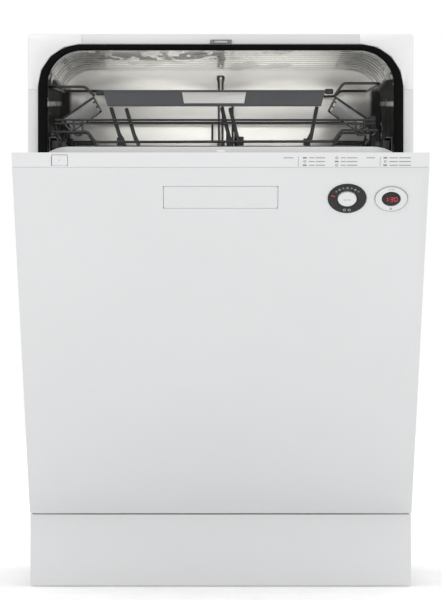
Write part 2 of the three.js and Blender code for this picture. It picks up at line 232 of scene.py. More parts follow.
def cut(obj, axis, *places):
    """Cuts a mesh across at places in millimetres along one axis (0, 1 or 2)."""
    way = [float(i == axis) for i in range(3)]
    with Editing(obj):
        for place in places:
            bpy.ops.mesh.select_all(action="SELECT")
            bpy.ops.mesh.bisect(plane_co=at(*(place * w for w in way)), plane_no=way)
    return obj


def repeat(obj, count, step):
    """Copies a piece along a line, step in millimetres."""
    return modify(obj, "ARRAY", count=count, use_relative_offset=False,
                  use_constant_offset=True, constant_offset_displace=Vector(step) * MM)


def join(name, *objects):
    """One piece out of several."""
    only(*objects)
    bpy.ops.object.join()
    objects[0].name = objects[0].data.name = name
    return objects[0]


def turn(obj, angle, axis, centre):
    """Turns a piece by the right-hand rule about a centre in the row's metres."""
    only(obj)
    bpy.ops.transform.rotate(
        value=-angle, orient_axis=axis, orient_type="GLOBAL", center_override=centre)
    return settle(obj)


def swing(obj):
    """Takes a piece modelled on the shut door to where the open door holds it."""
    return turn(obj, OPEN, "X", HINGE)


def wire(name, points, radius=2.1, bend=7, sides=8):
    """A bent wire through points in millimetres, with round corners."""
    line = [at(*p) for p in points]
    first = (line[1] - line[0]).normalized()
    only()
    bpy.ops.mesh.primitive_circle_add(
        vertices=sides, radius=radius * MM, fill_type="NOTHING", location=line[0],
        rotation=first.to_track_quat("Z", "Y").to_euler())
    obj = settle(bpy.context.object, name)
    used = 0.0
    with Editing(obj, "VERT", whole=True):
        for i in range(1, len(line)):
            run = line[i] - line[i - 1]
            along, setback, angle = run.normalized(), 0.0, 0.0
            if i < len(line) - 1:
                after = (line[i + 1] - line[i]).normalized()
                angle = along.angle(after)
                setback = bend * MM * math.tan(angle / 2)
            bpy.ops.mesh.extrude_region_move(
                TRANSFORM_OT_translate={"value": along * (run.length - used - setback)})
            if angle > 0.01:
                axis = along.cross(after).normalized()
                corner = line[i] - along * setback
                bpy.ops.mesh.spin(
                    steps=max(2, round(angle / 0.35)), angle=-angle, axis=axis,
                    center=corner + axis.cross(along) * bend * MM)
            used = setback
        bpy.ops.mesh.select_all(action="SELECT")
        bpy.ops.mesh.remove_doubles(threshold=1e-6)
        bpy.ops.mesh.fill_holes(sides=0)
        bpy.ops.mesh.normals_make_consistent(inside=False)
    return smooth(obj, 50)


def turned(name, centre, way, profile, sides=40):
    """A round solid: a disc at a centre in millimetres, drawn out through (radius, height) steps."""
    way = Vector(way).normalized()
    only()
    bpy.ops.mesh.primitive_circle_add(
        vertices=sides, radius=profile[0][0] * MM, fill_type="NGON",
        location=at(*centre) + way * profile[0][1] * MM, rotation=way.to_track_quat("Z", "Y").to_euler())
    obj = settle(bpy.context.object, name)
    with Editing(obj, whole=True):
        for (r0, h0), (r1, h1) in zip(profile, profile[1:]):
            bpy.ops.mesh.extrude_region_move(TRANSFORM_OT_translate={"value": way * (h1 - h0) * MM})
            bpy.ops.transform.resize(value=(r1 / r0,) * 3)
        bpy.ops.mesh.select_all(action="SELECT")
        bpy.ops.mesh.normals_make_consistent(inside=False)
    return smooth(obj)


def softened(node, width=0.5, segments=2):
    """A copy of a frame node with its edges rounded, which stands for it."""
    only()
    source = frame["nodes"][node]
    obj = bpy.data.objects.new(node + "_piece", source.data.copy())
    bpy.context.scene.collection.objects.link(obj)
    with Editing(obj, "VERT", whole=True):
        bpy.ops.mesh.remove_doubles(threshold=2e-5)
        bpy.ops.mesh.dissolve_limited(angle_limit=math.radians(1))
        bpy.ops.mesh.normals_make_consistent(inside=False)
    obj.data.materials.clear()
    return soften(obj, width, segments)


SLOT_OF = {part["node"]: part["material_slot"] for part in frame["record"]["subparts"]}


def dress(obj, slot, body, *nodes, shader=None):
    """Gives a piece its finish and its body, and says which frame nodes it stands for."""
    obj.data.materials.clear()
    obj.data.materials.append(finish(shader or slot))
    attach(obj, body)
    if nodes:
        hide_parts(*nodes)
    return obj


def dress_node(node, width=0.5, segments=2, shader=None):
    """Stands a rounded copy in for a frame node, in the node's own slot and body."""
    return dress(softened(node, width, segments), SLOT_OF[node], BODY_OF[node], node, shader=shader)


# ---------- Shaders ----------
class Value:
    """A shader output that joins in sums."""

    def __init__(self, shader, socket):
        self.shader, self.socket = shader, socket

    def _sum(self, operation, a, b):
        return self.shader.node("ShaderNodeMath", {"operation": operation}, {0: a, 1: b})

    def __add__(self, other):
        return self._sum("ADD", self, other)

    def __sub__(self, other):
        return self._sum("SUBTRACT", self, other)

    def __rsub__(self, other):
        return self._sum("SUBTRACT", other, self)

    def __mul__(self, other):
        return self._sum("MULTIPLY", self, other)

    __radd__, __rmul__ = __add__, __mul__


class Shader:
    """One material: a Principled surface, fed by patterns on Object coordinates."""

    def __init__(self, name, **constants):
        self.material = bpy.data.materials.new(name)
        self.material.use_nodes = True
        self.tree = self.material.node_tree
        self.tree.nodes.clear()
        self.surface = self.tree.nodes.new("ShaderNodeBsdfPrincipled")
        output = self.tree.nodes.new("ShaderNodeOutputMaterial")
        self.tree.links.new(self.surface.outputs[0], output.inputs["Surface"])
        self.place = self.node("ShaderNodeTexCoord", output="Object")
        self.feed(**constants)

    def node(self, kind, settings=None, inputs=None, output=0):
        """A node with its settings, then its sockets' values or links, as one of its outputs."""
        made = self.tree.nodes.new(kind)
        for key, value in (settings or {}).items():
            setattr(made, key, value)
        for key, value in (inputs or {}).items():
            self.set(made.inputs[key], value)
        return Value(self, made.outputs[output])

    def set(self, socket, value):
        if isinstance(value, Value):
            self.tree.links.new(value.socket, socket)
        elif socket.type == "RGBA":
            socket.default_value = (*value[:3], 1)
        else:
            socket.default_value = value

    def feed(self, **inputs):
        for key, value in inputs.items():
            self.set(self.surface.inputs[key.replace("_", " ").title().replace("Ior", "IOR")], value)
        return self.material

    def noise(self, scale, detail=2.0, stretch=(1, 1, 1)):
        """Soft noise from 0 to 1, with scale in waves per metre, drawn out along an axis by stretch."""
        place = self.node("ShaderNodeMapping", None, {"Vector": self.place, "Scale": stretch})
        return self.node("ShaderNodeTexNoise", None, {
            "Vector": place, "Scale": scale, "Detail": detail})

    def axis(self, name):
        return self.node("ShaderNodeSeparateXYZ", None, {0: self.place}, output=name)

    def math(self, operation, value):
        return self.node("ShaderNodeMath", {"operation": operation}, {0: value})

    def between(self, value, low, high):
        """A smooth step from 0 to 1 as a value goes from low to high."""
        return self.node("ShaderNodeMapRange", {"interpolation_type": "SMOOTHSTEP"}, {
            "Value": value, "From Min": low, "From Max": high})

    def mix(self, factor, a, b):
        """A colour between two colours."""
        return self.node("ShaderNodeMix", {"data_type": "RGBA"}, {0: factor, 6: a, 7: b}, output=2)

    def bump(self, height, strength, distance):
        return self.node("ShaderNodeBump", None, {
            "Height": height, "Strength": strength, "Distance": distance})


def shade(colour, factor):
    return tuple(min(1.0, c * factor) for c in colour)


def enamel(name, colour, roughness=0.3, dirt=0.02):
    """Sprayed and baked paint, with the faint ripple of its skin."""
    s = Shader(name, coat_weight=0.25, coat_roughness=0.12, specular_ior_level=0.45)
    skin, cloud = s.noise(520, 2), s.noise(5, 3)
    s.feed(base_color=s.mix(cloud, shade(colour, 1 - dirt), shade(colour, 1 + dirt)),
           roughness=roughness + skin * 0.05 + cloud * 0.04)
    return s.feed(normal=s.bump(skin, 0.05, 0.0004))


def metal(name, colour, roughness, grain=(1, 1, 1), grain_scale=260, spread=0.12, wave=0.0):
    """Sheet metal with its rolled grain, handling marks and, where it is thin, a slow wave."""
    s = Shader(name, metallic=1.0)
    grain_lines = s.noise(grain_scale, 3, grain)
    cloud = s.noise(9, 4)
    s.feed(base_color=s.mix(cloud, shade(colour, 0.9), shade(colour, 1.06)),
           roughness=roughness + grain_lines * spread + cloud * 0.05)
    height = grain_lines * 0.08 + s.noise(13, 2) * wave
    return s.feed(normal=s.bump(height, 0.35, 0.0016))


def plastic(name, colour, roughness=0.45, grain=900, depth=0.0002, lit=0.0):
    """Moulded plastic with a fine spark-eroded texture."""
    s = Shader(name, specular_ior_level=0.4, emission_color=(1, 1, 1), emission_strength=lit)
    fine, cloud = s.noise(grain, 3), s.noise(14, 3)
    s.feed(base_color=s.mix(cloud, shade(colour, 0.9), shade(colour, 1.12)),
           roughness=roughness + fine * 0.12 - cloud * 0.05)
    return s.feed(normal=s.bump(fine, 0.35, depth))


def coated_wire(name, colour):
    """Nylon dipped over wire: slightly glossy, with thick and thin places and pale rubbed spots."""
    s = Shader(name, specular_ior_level=0.5, coat_weight=0.3, coat_roughness=0.25)
    dip, rub = s.noise(160, 2), s.noise(55, 4)
    wear_and_reflection = s.between(rub, 0.66, 0.74)
    s.feed(base_color=s.mix(wear_and_reflection * 0.35, colour, shade(colour, 3.2)), roughness=0.34 + dip * 0.16)
    return s.feed(normal=s.bump(dip, 0.4, 0.0004))


def polished_tub(name, colour):
    """Bright steel with painted light: painted reflection patches under the roof, painted ribbed shade
    in the corners, and a painted dark reflection with painted highlight streaks on the flanks.
    """
    s = Shader(name, specular_ior_level=0.08)
    depth, z = s.axis("Y") - FRONT, s.axis("Z")
    out = s.math("ABSOLUTE", s.axis("X"))
    # Painted reflection: the flanks turn near-black and less metallic, for the dark surroundings they
    # mirror.
    flank = s.between(out, 0.240, 0.256) * s.between(z, 0.808, 0.796) * s.between(z, 0.60, 0.70)
    # Painted shade: dark ribs in the rounded corners under the roof.
    corner = s.between(out, 0.196, 0.222) * s.between(z, 0.794, 0.806)
    rib = s.between(s.math("SINE", (depth + z * 0.1) * 300), -0.15, 0.3)
    # Painted reflection: dark patches on the roof's left half near the front, and dark blots (mark) all
    # over the roof.
    under = s.between(out, 0.225, 0.2) * s.between(z, 0.815, 0.825)
    patch = s.between(s.noise(42, 3, (1, 0.2, 1)), 0.47, 0.52) * s.between(s.axis("X"), 0.02, 0.0)
    patch = patch * s.between(depth, 0.03, 0.06) * s.between(depth, 0.27, 0.22)
    mark = s.between(s.noise(17, 3, (1, 0.25, 1)), 0.56, 0.62) * 0.45
    wear_and_reflection, rib_shade = under * (patch * 0.5 + mark * 0.4), corner * (1 - rib) * 0.4
    bright = s.mix(wear_and_reflection, colour, shade(colour, 0.1))
    ribbed = s.mix(rib_shade, bright, shade(colour, 0.2))
    # Painted highlights: two light streaks along each flank, plus lighter noise streaks (rubbed), set
    # into the painted dark reflection.
    leaning = z - depth * 0.058
    highlight_streak = s.between(leaning, 0.787, 0.790) * s.between(leaning, 0.797, 0.794)
    highlight_streak = highlight_streak + s.between(leaning, 0.745, 0.748) * s.between(leaning, 0.755, 0.752)
    rubbed = s.between(s.noise(26, 3, (1, 0.25, 1.6)), 0.62, 0.68)
    highlight_streak = highlight_streak * s.between(s.noise(40, 3), 0.35, 0.5) + rubbed
    dark = s.mix(highlight_streak, shade(colour, 0.02), shade(colour, 0.75))
    dull = wear_and_reflection + rib_shade + flank * 0.97
    s.feed(base_color=s.mix(flank, ribbed, dark), metallic=1 - dull,
           roughness=0.12 + s.noise(300, 2, (1, 0.15, 1)) * 0.08 + dull * 0.4 - corner * 0.08)
    wave = s.noise(11, 2) + s.noise(240, 2, (1, 0.1, 1)) * 0.02
    return s.feed(normal=s.bump(wave, 0.5, 0.004))


def back_steel(name, colour):
    """The tub's back wall: creamy, with soft painted shadows under the roof, faint painted level bands
    of shade, painted shade low down and to the lower right, and painted dark shade at its side edges.
    """
    s = Shader(name, metallic=1.0)
    x, z = s.axis("X"), s.axis("Z")
    out = s.math("ABSOLUTE", x)
    cloud = s.noise(7, 3, (1, 1, 2.4))
    half = out - 0.12
    # Painted shadow: a soft sag-shaped shade along the top, under the roof.
    sag = s.between(z + half * half * 1.5, 0.806, 0.826)
    # Painted shade, all summed into shadow: faint noise bands, a level band at about 0.74 to 0.79 m, and
    # darkening below about 0.76 m, more so on the right.
    band = s.between(s.noise(18, 2, (0.15, 1, 1)), 0.5, 0.62)
    level = s.between(z, 0.735, 0.752) * s.between(z, 0.79, 0.775)
    low = s.between(z, 0.775, 0.755)
    right = s.between(x, 0.0, 0.1) * low
    shadow = sag * 0.7 + band * 0.12 + level * 0.6 + low * 0.1 + right * 0.25
    tone = s.mix(shadow, colour, shade(colour, 0.42))
    # Painted shade: the side edges darkened almost to black, where the wall meets the flanks.
    edge = s.between(out, 0.248, 0.256) * s.between(z, 0.812, 0.8) * s.between(z, 0.60, 0.70)
    s.feed(base_color=s.mix(edge, tone, shade(colour, 0.03)), roughness=0.3 + cloud * 0.12,
           metallic=0.72)
    return s.feed(normal=s.bump(cloud + s.noise(300, 2, (0.08, 1, 1)) * 0.04, 0.3, 0.002))


def rubber(name, colour):
    """Gasket rubber with a dusty bloom and die lines."""
    s = Shader(name, specular_ior_level=0.03)
    bloom, lines = s.noise(60, 4), s.noise(500, 2)
    s.feed(base_color=s.mix(bloom, colour, shade(colour, 1.9)), roughness=0.6 + bloom * 0.2)
    return s.feed(normal=s.bump(lines, 0.3, 0.0003))


def glass(name, colour):
    """A dark polished window."""
    s = Shader(name, coat_weight=0.2, coat_roughness=0.05, specular_ior_level=0.3)
    return s.feed(base_color=s.mix(s.noise(30, 2), colour, shade(colour, 1.4)),
                  roughness=0.08 + s.noise(200, 2) * 0.05)


def glow(name, colour, strength):
    """A lit print or display segment."""
    s = Shader(name, emission_strength=strength, emission_color=colour, roughness=0.4)
    return s.feed(base_color=s.mix(s.noise(400, 1), shade(colour, 0.8), colour))


FINISHES = {}


def finish(name):
    """The named material, made the first time it is asked for."""
    if name not in FINISHES:
        maker, *settings = finish_table(bpy.context.scene.dishwasher)[name]
        FINISHES[name] = maker(name, *settings)
    return FINISHES[name]


def finish_table(look):
    """Each material's maker and settings, in the order of the maker's own arguments."""
    across, upright, drawn = (0.2, 1, 1), (1, 0.1, 1), (1, 0.06, 1)
    return {
        "white_enamel": (enamel, look.enamel),
        # Painted light: a slightly lighter copy of the door's enamel, for the strip and the power
        # button.
        "strip_white": (enamel, shade(look.enamel, 1.03), 0.36),
        "tub_steel": (metal, look.tub_steel, 0.16, upright, 260, 0.12, 0.4),
        "polished_tub": (polished_tub, look.tub_steel),
        "back_steel": (back_steel, (0.99, 0.975, 0.925)),
        "flange_steel": (metal, look.flange, 0.42, across, 420, 0.1),
        "corner_steel": (metal, shade(look.flange, 1.18), 0.42, across, 420, 0.1),
        "liner_steel": (metal, shade(look.flange, 0.66), 0.42, upright, 260, 0.12, 0.2),
        "latch_steel": (metal, (0.22, 0.22, 0.225), 0.35, across, 300, 0.2),
        "zinc_steel": (metal, (0.60, 0.61, 0.62), 0.34, (1, 1, 0.3), 120, 0.2, 0.2),
        "rail_steel": (metal, (0.12, 0.122, 0.125), 0.36, drawn, 500, 0.14),
        "plate_pale": (metal, (0.56, 0.555, 0.54), 0.3, (0.1, 1, 1), 600, 0.14, 0.3),
        "shelf_steel": (plastic, (0.93, 0.94, 0.95), 0.3, 300, 0.0001),
        "seal_rubber": (rubber, (0.004, 0.004, 0.0042)),
        "coated_wire": (coated_wire, look.wire_colour),
        "handle_grey": (plastic, look.handle_colour, 0.42),
        "works_grey": (plastic, (0.26, 0.27, 0.28), 0.5, 600, 0.0003),
        "works_black": (plastic, (0.03, 0.03, 0.032), 0.5),
        "works_white": (plastic, (0.72, 0.73, 0.72), 0.4),
        "felt": (plastic, (0.045, 0.046, 0.05), 0.85, 300, 0.0012),
        "dial_grey": (plastic, (0.009, 0.0092, 0.0098), 0.42, 1200, 0.0001),
        "wheel_blue": (plastic, (0.28, 0.29, 0.30), 0.38),
        "print_grey": (plastic, (0.22, 0.22, 0.225), 0.5),
        # Pale print on the dial; also the painted shade ring round the start button.
        "print_pale": (plastic, (0.36, 0.36, 0.365), 0.5),
        # Painted shade: a dark plate standing in for the side panels' slot openings.
        "gap_dark": (plastic, (0.10, 0.10, 0.105), 0.7),
        "floor_pale": (plastic, (0.88, 0.88, 0.88), 0.7, 200, 0.0001, 0.2),
        "lens_black": (glass, (0.004, 0.004, 0.005)),
        "lamp_red": (glow, (0.62, 0.02, 0.03), 0.6),
    }


# ---------- What a user can change ----------
class DishwasherSettings(bpy.types.PropertyGroup):
    """Sizes and colours of the dishwasher's pieces."""

    enamel: FloatVectorProperty(
        name="Enamel", description="Colour of the painted door, strip and plinth",
        subtype="COLOR", size=3, min=0, max=1, default=(0.67, 0.674, 0.68))
    tub_steel: FloatVectorProperty(
        name="Tub steel", description="Colour of the bright steel inside",
        subtype="COLOR", size=3, min=0, max=1, default=(0.90, 0.89, 0.86))
    flange: FloatVectorProperty(
        name="Flange", description="Colour of the pale flange round the opening",
        subtype="COLOR", size=3, min=0, max=1, default=(0.72, 0.72, 0.725))
    wire_colour: FloatVectorProperty(
        name="Wire coating", description="Colour of the nylon on the racks",
        subtype="COLOR", size=3, min=0, max=1, default=(0.022, 0.023, 0.025))
    handle_colour: FloatVectorProperty(
        name="Rack handle", description="Colour of the upper rack's handle",
        subtype="COLOR", size=3, min=0, max=1, default=(0.075, 0.078, 0.084))
    wire_gauge: FloatProperty(
        name="Wire", description="Thickness of the racks' frame wire, coating included",
        subtype="DISTANCE", unit="LENGTH", min=0.003, max=0.006, default=0.0042)
    rib_count: IntProperty(
        name="Rack ribs", description="How many bent ribs carry each rack", min=8, max=24, default=15)
    tub_beads: IntProperty(
        name="Tub beads", description="How many stiffening beads run round the tub",
        min=3, max=12, default=9)
    bead_depth: FloatProperty(
        name="Bead depth", description="How far each bead is pressed out",
        subtype="DISTANCE", unit="LENGTH", min=0.0005, max=0.003, default=0.0016)
    spring_coils: IntProperty(
        name="Spring turns", description="Turns of each balance spring", min=10, max=60, default=34)


class Piece:
    """What every operator of the dishwasher shares."""

    bl_options = {"REGISTER", "UNDO"}

    @property
    def look(self):
        return bpy.context.scene.dishwasher


# ---------- Stage ----------
class DISHWASHER_OT_stage(Piece, bpy.types.Operator):
    """Lays the pale floor, sets the soft studio light and stands the camera in front of the machine"""

    bl_idname = "dishwasher.stage"
    bl_label = "Stage"

    def execute(self, context):
        only()
        bpy.ops.mesh.primitive_plane_add(size=14, location=(0, 0, -0.0005))
        floor = settle(context.object, "floor")
        with Editing(floor, whole=True):
            bpy.ops.mesh.subdivide(number_cuts=3)
        floor.data.materials.append(finish("floor_pale"))
        world = bpy.data.worlds.new("Studio")
        world.use_nodes = True
        world.node_tree.nodes["Background"].inputs["Color"].default_value = (1, 1, 1, 1)
        world.node_tree.nodes["Background"].inputs["Strength"].default_value = 1.0
        context.scene.world = world
        context.scene.view_settings.view_transform = "Standard"
        self.lamp("key", Vector((-1.6, -3.2, 2.6)), Vector((0, -0.2, 0.6)), 1.6, 9)
        self.lamp("fill", Vector((2.2, -2.8, 1.2)), Vector((0, -0.2, 0.5)), 2.0, 3)
        self.lamp("top", Vector((0.2, 0.6, 3.0)), Vector((0, 0, 0.8)), 1.4, 8)
        roof = self.lamp("tub", at(0, 45, 818), at(0, 500, 780), 0.48, 0.155, seen=False)
        roof.data.shape, roof.data.size_y = "RECTANGLE", 0.03
        for side, sign in SIDES:
            self.lamp(f"tub_{side}", at(sign * 90, 90, 735), at(sign * 240, 495, 795), 0.04, 0.06,
                      seen=False)
        bpy.ops.object.camera_add(
            location=(0.0005, FRONT - CAMERA_BACK, CAMERA_HEIGHT), rotation=(CAMERA_TILT, 0, 0))
        camera = context.object
        camera.data.lens, camera.data.sensor_width = CAMERA_LENS, 36
        camera.data.clip_end = 60
        context.scene.camera = camera
        return {"FINISHED"}

    def lamp(self, name, place, aim, size, power, seen=True):
        """A square soft lamp, in metres and watts."""
        bpy.ops.object.light_add(type="AREA", location=place)
        lamp = bpy.context.object
        lamp.name = name
        lamp.data.size, lamp.data.energy = size, power
        lamp.visible_camera = seen
        lamp.rotation_euler = (aim - place).to_track_quat("-Z", "Y").to_euler()
        return lamp


# ---------- Shell ----------
def rim(name, half, top, corner, y, radius, foot, sides=8):
    """A round bead along an arch: up one side, over the top and down the other."""
    return wire(name, [(-half, y, foot), (-half, y, top), (half, y, top), (half, y, foot)],
                radius, corner, sides)


class DISHWASHER_OT_shell(Piece, bpy.types.Operator):
    """Shapes the outer shell: flange, corner plates, side panels, base and feet"""

    bl_idname = "dishwasher.shell"
    bl_label = "Shell"

    def execute(self, context):
        dress_node("front_frame", 0.5)
        for side, sign in SIDES:
            dress_node(f"corner_plate_{side}", 0.25, shader="corner_steel")
            self.side_panel(side, sign)
        dress_node("latch_strike", 0.5, shader="latch_steel")
        bright = rim("tub_rim", 283.2, 843.2, 66, -0.6, 1.1, 206)
        dress(bright, "zinc_steel", "cabinet")
        self.roof()
        self.base()
        return {"FINISHED"}

    def side_panel(self, side, sign):
        """A pressed flank with three stiffening beads and its returns."""
        panel = softened(f"side_panel_{side}", 0.4)
        beads = []
        for low, high in ((250, 330), (430, 510), (620, 700)):
            bead = block("bead", (sign * 297.2 - 0.9, 60, low), (sign * 297.2 + 0.9, 500, high))
            round_edges(bead, 0, lambda middle: True, 18, 8)
            beads.append(press(bead, facing(x=sign), (6, 0), (3, -0.7)))
        # The slots are thin dark plates on the panel: painted shade for the openings.
        slots = []
        for z in (160, 180):
            slot = block("slot", (sign * 297.8 - 0.4, 430, z), (sign * 297.8 + 0.4, 500, z + 8))
            round_edges(slot, 0, lambda middle: True, 3.5, 5)
            slots.append(slot)
        dress(join(f"side_panel_{side}_piece", panel, *map(smooth, beads)), "zinc_steel", "cabinet",
              f"side_panel_{side}")
        dress(join(f"side_slots_{side}", *slots), "zinc_steel", "cabinet", shader="gap_dark")

    def roof(self):
        """Damping pads over the tub, with the cross bar that ties the two flanks."""
        for index, (low, high) in enumerate(((60, 250), (268, 470))):
            pad = block(f"roof_pad_{index + 1}", (-190, low, 836.4), (190, high, 839.2))
            round_edges(pad, 2, lambda middle: True, 14, 6)
            press(pad, facing(z=1), (7, 0), (3, -0.9))
            dress(smooth(pad), "works_grey", "cabinet", shader="felt")
        for index, (low, high) in enumerate(((262, 500), (520, 758))):
            pad = block(f"rear_pad_{index + 1}", (-226, 501.4, low), (226, 504.4, high))
            round_edges(pad, 1, lambda middle: True, 16, 6)
            press(pad, facing(y=1), (8, 0), (3, -1))
            dress(smooth(pad), "works_grey", "cabinet", shader="felt")
        bar = block("rear_tie_bar", (-272, 518, 812), (272, 546.6, 813.2))
        lips = [block("lip", (-272, y, 796), (272, y + 1.2, 813)) for y in (518, 545.4)]
        bar = join("rear_tie_bar", face_out(bar), *lips)
        dress(soften(bar, 0.4), "zinc_steel", "cabinet")

    def base(self):
        """The plastic base tray, the plinth and the threaded feet."""
        tray = softened("base_tray", 1.2)
        ribs = [block("rib", (x - 1.2, 541.5, 30), (x + 1.2, 546.5, 182)) for x in range(-260, 261, 52)]
        dress(join("base_tray_piece", tray, *ribs), "works_grey", "cabinet", "base_tray")
        dress_node("kickplate", 0.8, 3)
        for end in ("front", "rear"):
            for side, sign in SIDES:
                name = f"foot_{end}_{side}"
                low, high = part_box(name)
                x, y = ((low.x + high.x) / 2 / MM, ((low.y + high.y) / 2 - FRONT) / MM)
                profile = [(18.5, 0), (20, 1.2), (20, 5), (18.6, 6.4), (9, 9.4), (8.6, 13), (5.4, 13.4)]
                thread_start, thread_pitch = 14.5, 3
                for step in range(18):
                    z = thread_start + step * thread_pitch
                    profile += [(5.1, z), (6.0, z + 1.1), (6.0, z + 1.6), (5.1, z + 2.7)]
                profile += [(5.1, 71), (4.2, 72)]
                foot = turned(f"{name}_piece", (x, y, 0), (0, 0, 1), profile, 24)
                dress(foot, "works_grey", name, name, shader="works_black")


# ---------- Tub ----------
class DISHWASHER_OT_tub(Piece, bpy.types.Operator):
    """Presses the tub with its beads, back wall, floor, gasket and water pipe"""

    bl_idname = "dishwasher.tub"
    bl_label = "Tub"

    def execute(self, context):
        self.wrapper()
        self.back()
        self.floor()
        self.gasket()
        self.pipe()
        return {"FINISHED"}

    def wrapper(self):
        look = self.look
        tub = block("tub_wrapper_piece", (-TUB_HALF, TUB_FRONT, TUB_LOW), (TUB_HALF, TUB_REAR, TUB_TOP))
        with Editing(tub) as edit:
            edit.pick(lambda middle, way: abs(way.y) > 0.9 or way.z < -0.9)
            bpy.ops.mesh.delete(type="FACE")
        round_edges(tub, 1, lambda middle: middle.z > 0.7, TUB_CORNER, 14)
        pitch, width = 432 / look.tub_beads, 15
        starts = [46 + i * pitch for i in range(look.tub_beads)]
        bead_foot, bead_end = 232, 188  # beads stop above the floor and stay clear of the roof's middle
        cut(tub, 1, *(y for start in starts for y in (start, start + width)))
        cut(tub, 2, bead_foot)
        cut(tub, 0, -bead_end, bead_end)
        face_out(tub)
        for start in starts:
            low, high = (at(0, y, 0).y for y in (start, start + width))
            press(tub, lambda middle, way: low < middle.y < high and middle.z > bead_foot * MM
                  and abs(middle.x) > bead_end * MM, (3.5, look.bead_depth / MM))
        modify(tub, "SOLIDIFY", thickness=0.0012, offset=1, use_even_offset=True)
        dress(smooth(face_out(tub), 28), "tub_steel", "cabinet", "tub_wrapper", shader="polished_tub")

    def back(self):
        wall = block("tub_back_piece", (-269.2, 500.3, TUB_LOW), (269.2, 501.5, 836.2))
        round_edges(wall, 1, lambda middle: middle.z > 0.7, TUB_CORNER, 14)
        press(wall, facing(y=-1), (24, 0), (4, 0.8))
        panels = []
        for low, high in ((-208, -36), (36, 208)):
            panel = block("pressing", (low, 499.6, 300), (high, 501, 640))
            round_edges(panel, 1, lambda middle: True, 60, 10)
            panels.append(press(panel, facing(y=-1), (6, 0.9)))
        dress(smooth(join("tub_back_piece", wall, *panels), 28), "tub_steel", "cabinet", "tub_back",
              shader="back_steel")

    def floor(self):
        floor = softened("tub_floor", 0.5)
        dress(floor, "tub_steel", "cabinet", "tub_floor")
        sieve = turned("sieve_plate", (0, 172, 203.1), (0, 0, 1),
                       [(78, 0), (78, 0.8), (74, 1.4), (60, 0.7), (57, 0.6)], 64)
        dress(sieve, "tub_steel", "cabinet")

    def gasket(self):
        """A black tube gasket with a soft lip on the door's side and a foot in the channel."""
        seal = softened("door_seal", 3.2, 4)
        lip = rim("lip", 272.6, 837.2, 58, -1.5, 2.4, 234, 10)
        bead = rim("bead", 279.4, 839.6, 64, -2.3, 1.6, 234, 8)
        dress(join("door_seal_piece", seal, lip, bead), "seal_rubber", "cabinet", "door_seal")

    def pipe(self):
        """The pipe up the back wall, clipped and flared, with the upper arm's coupling."""
        stem = turned("feed_pipe_piece", (0, 493.5, 0), (0, 0, 1), [
            (4.8, 203.4), (4.8, 660), (6.4, 663), (6.4, 668), (4.8, 671), (4.8, 706), (6.4, 709),
            (6.4, 714), (4.8, 717), (4.8, 815), (6.4, 819), (6.4, 824), (5, 826)], 24)
        socket = turned("socket", (-9.5, 484, 688.5), (0, 1, 0),
                        [(6, 0), (8, 0.4), (8, 5), (6.6, 6), (6.6, 8.6)], 24)
        clips = []
        for z in (300, 460, 620):
            clip = block("clip", (-16, 497, z), (16, 500.2, z + 14))
            clips.append(soften(clip, 1.0))
        pipe = join("feed_pipe_piece", stem, socket)
        dress(pipe, "tub_steel", "cabinet", "feed_pipe", shader="plate_pale")
        dress(join("pipe_clips", *clips), "works_grey", "cabinet", shader="works_black")


# ---------- Water works ----------
def arm_piece(name, x, y, reach, low, high, hub, slots):
    """A spray arm: a tapered hollow blade pressed from two halves, with a hub and a row of nozzles."""
    blade = block(f"{name}_piece", (x - reach, y - 17, low), (x + reach, y + 17, high))
    cut(blade, 0, *(x + share * reach for share in (-0.5, 0, 0.5)))
    with Editing(blade, "EDGE") as edit:
        for tip in ((x - reach) * MM, (x + reach) * MM):
            edit.pick(lambda middle, way: abs(middle.x - tip) < 1e-4 and abs(way.y) > 0.9)
            bpy.ops.transform.resize(value=(1, 0.55, 1))
    soften(blade, 2.6, 4)
    nozzles = []
    for i in range(slots):
        for side in (-1, 1):
            along = (0.28 + 0.68 * i / (slots - 1)) * reach
            ring = turned("nozzle", (x + side * along, y + side * (i % 2) * 4 - 2, high), (0, 0, 1),
                          [(3.6, -0.5), (3.4, 0.5), (2.2, 0.7), (1.4, -0.2)], 12)
            nozzles.append(ring)
    centre = turned("hub", (x, y, 0), (0, 0, 1), hub, 32)
    return join(f"{name}_piece", blade, centre, *nozzles)


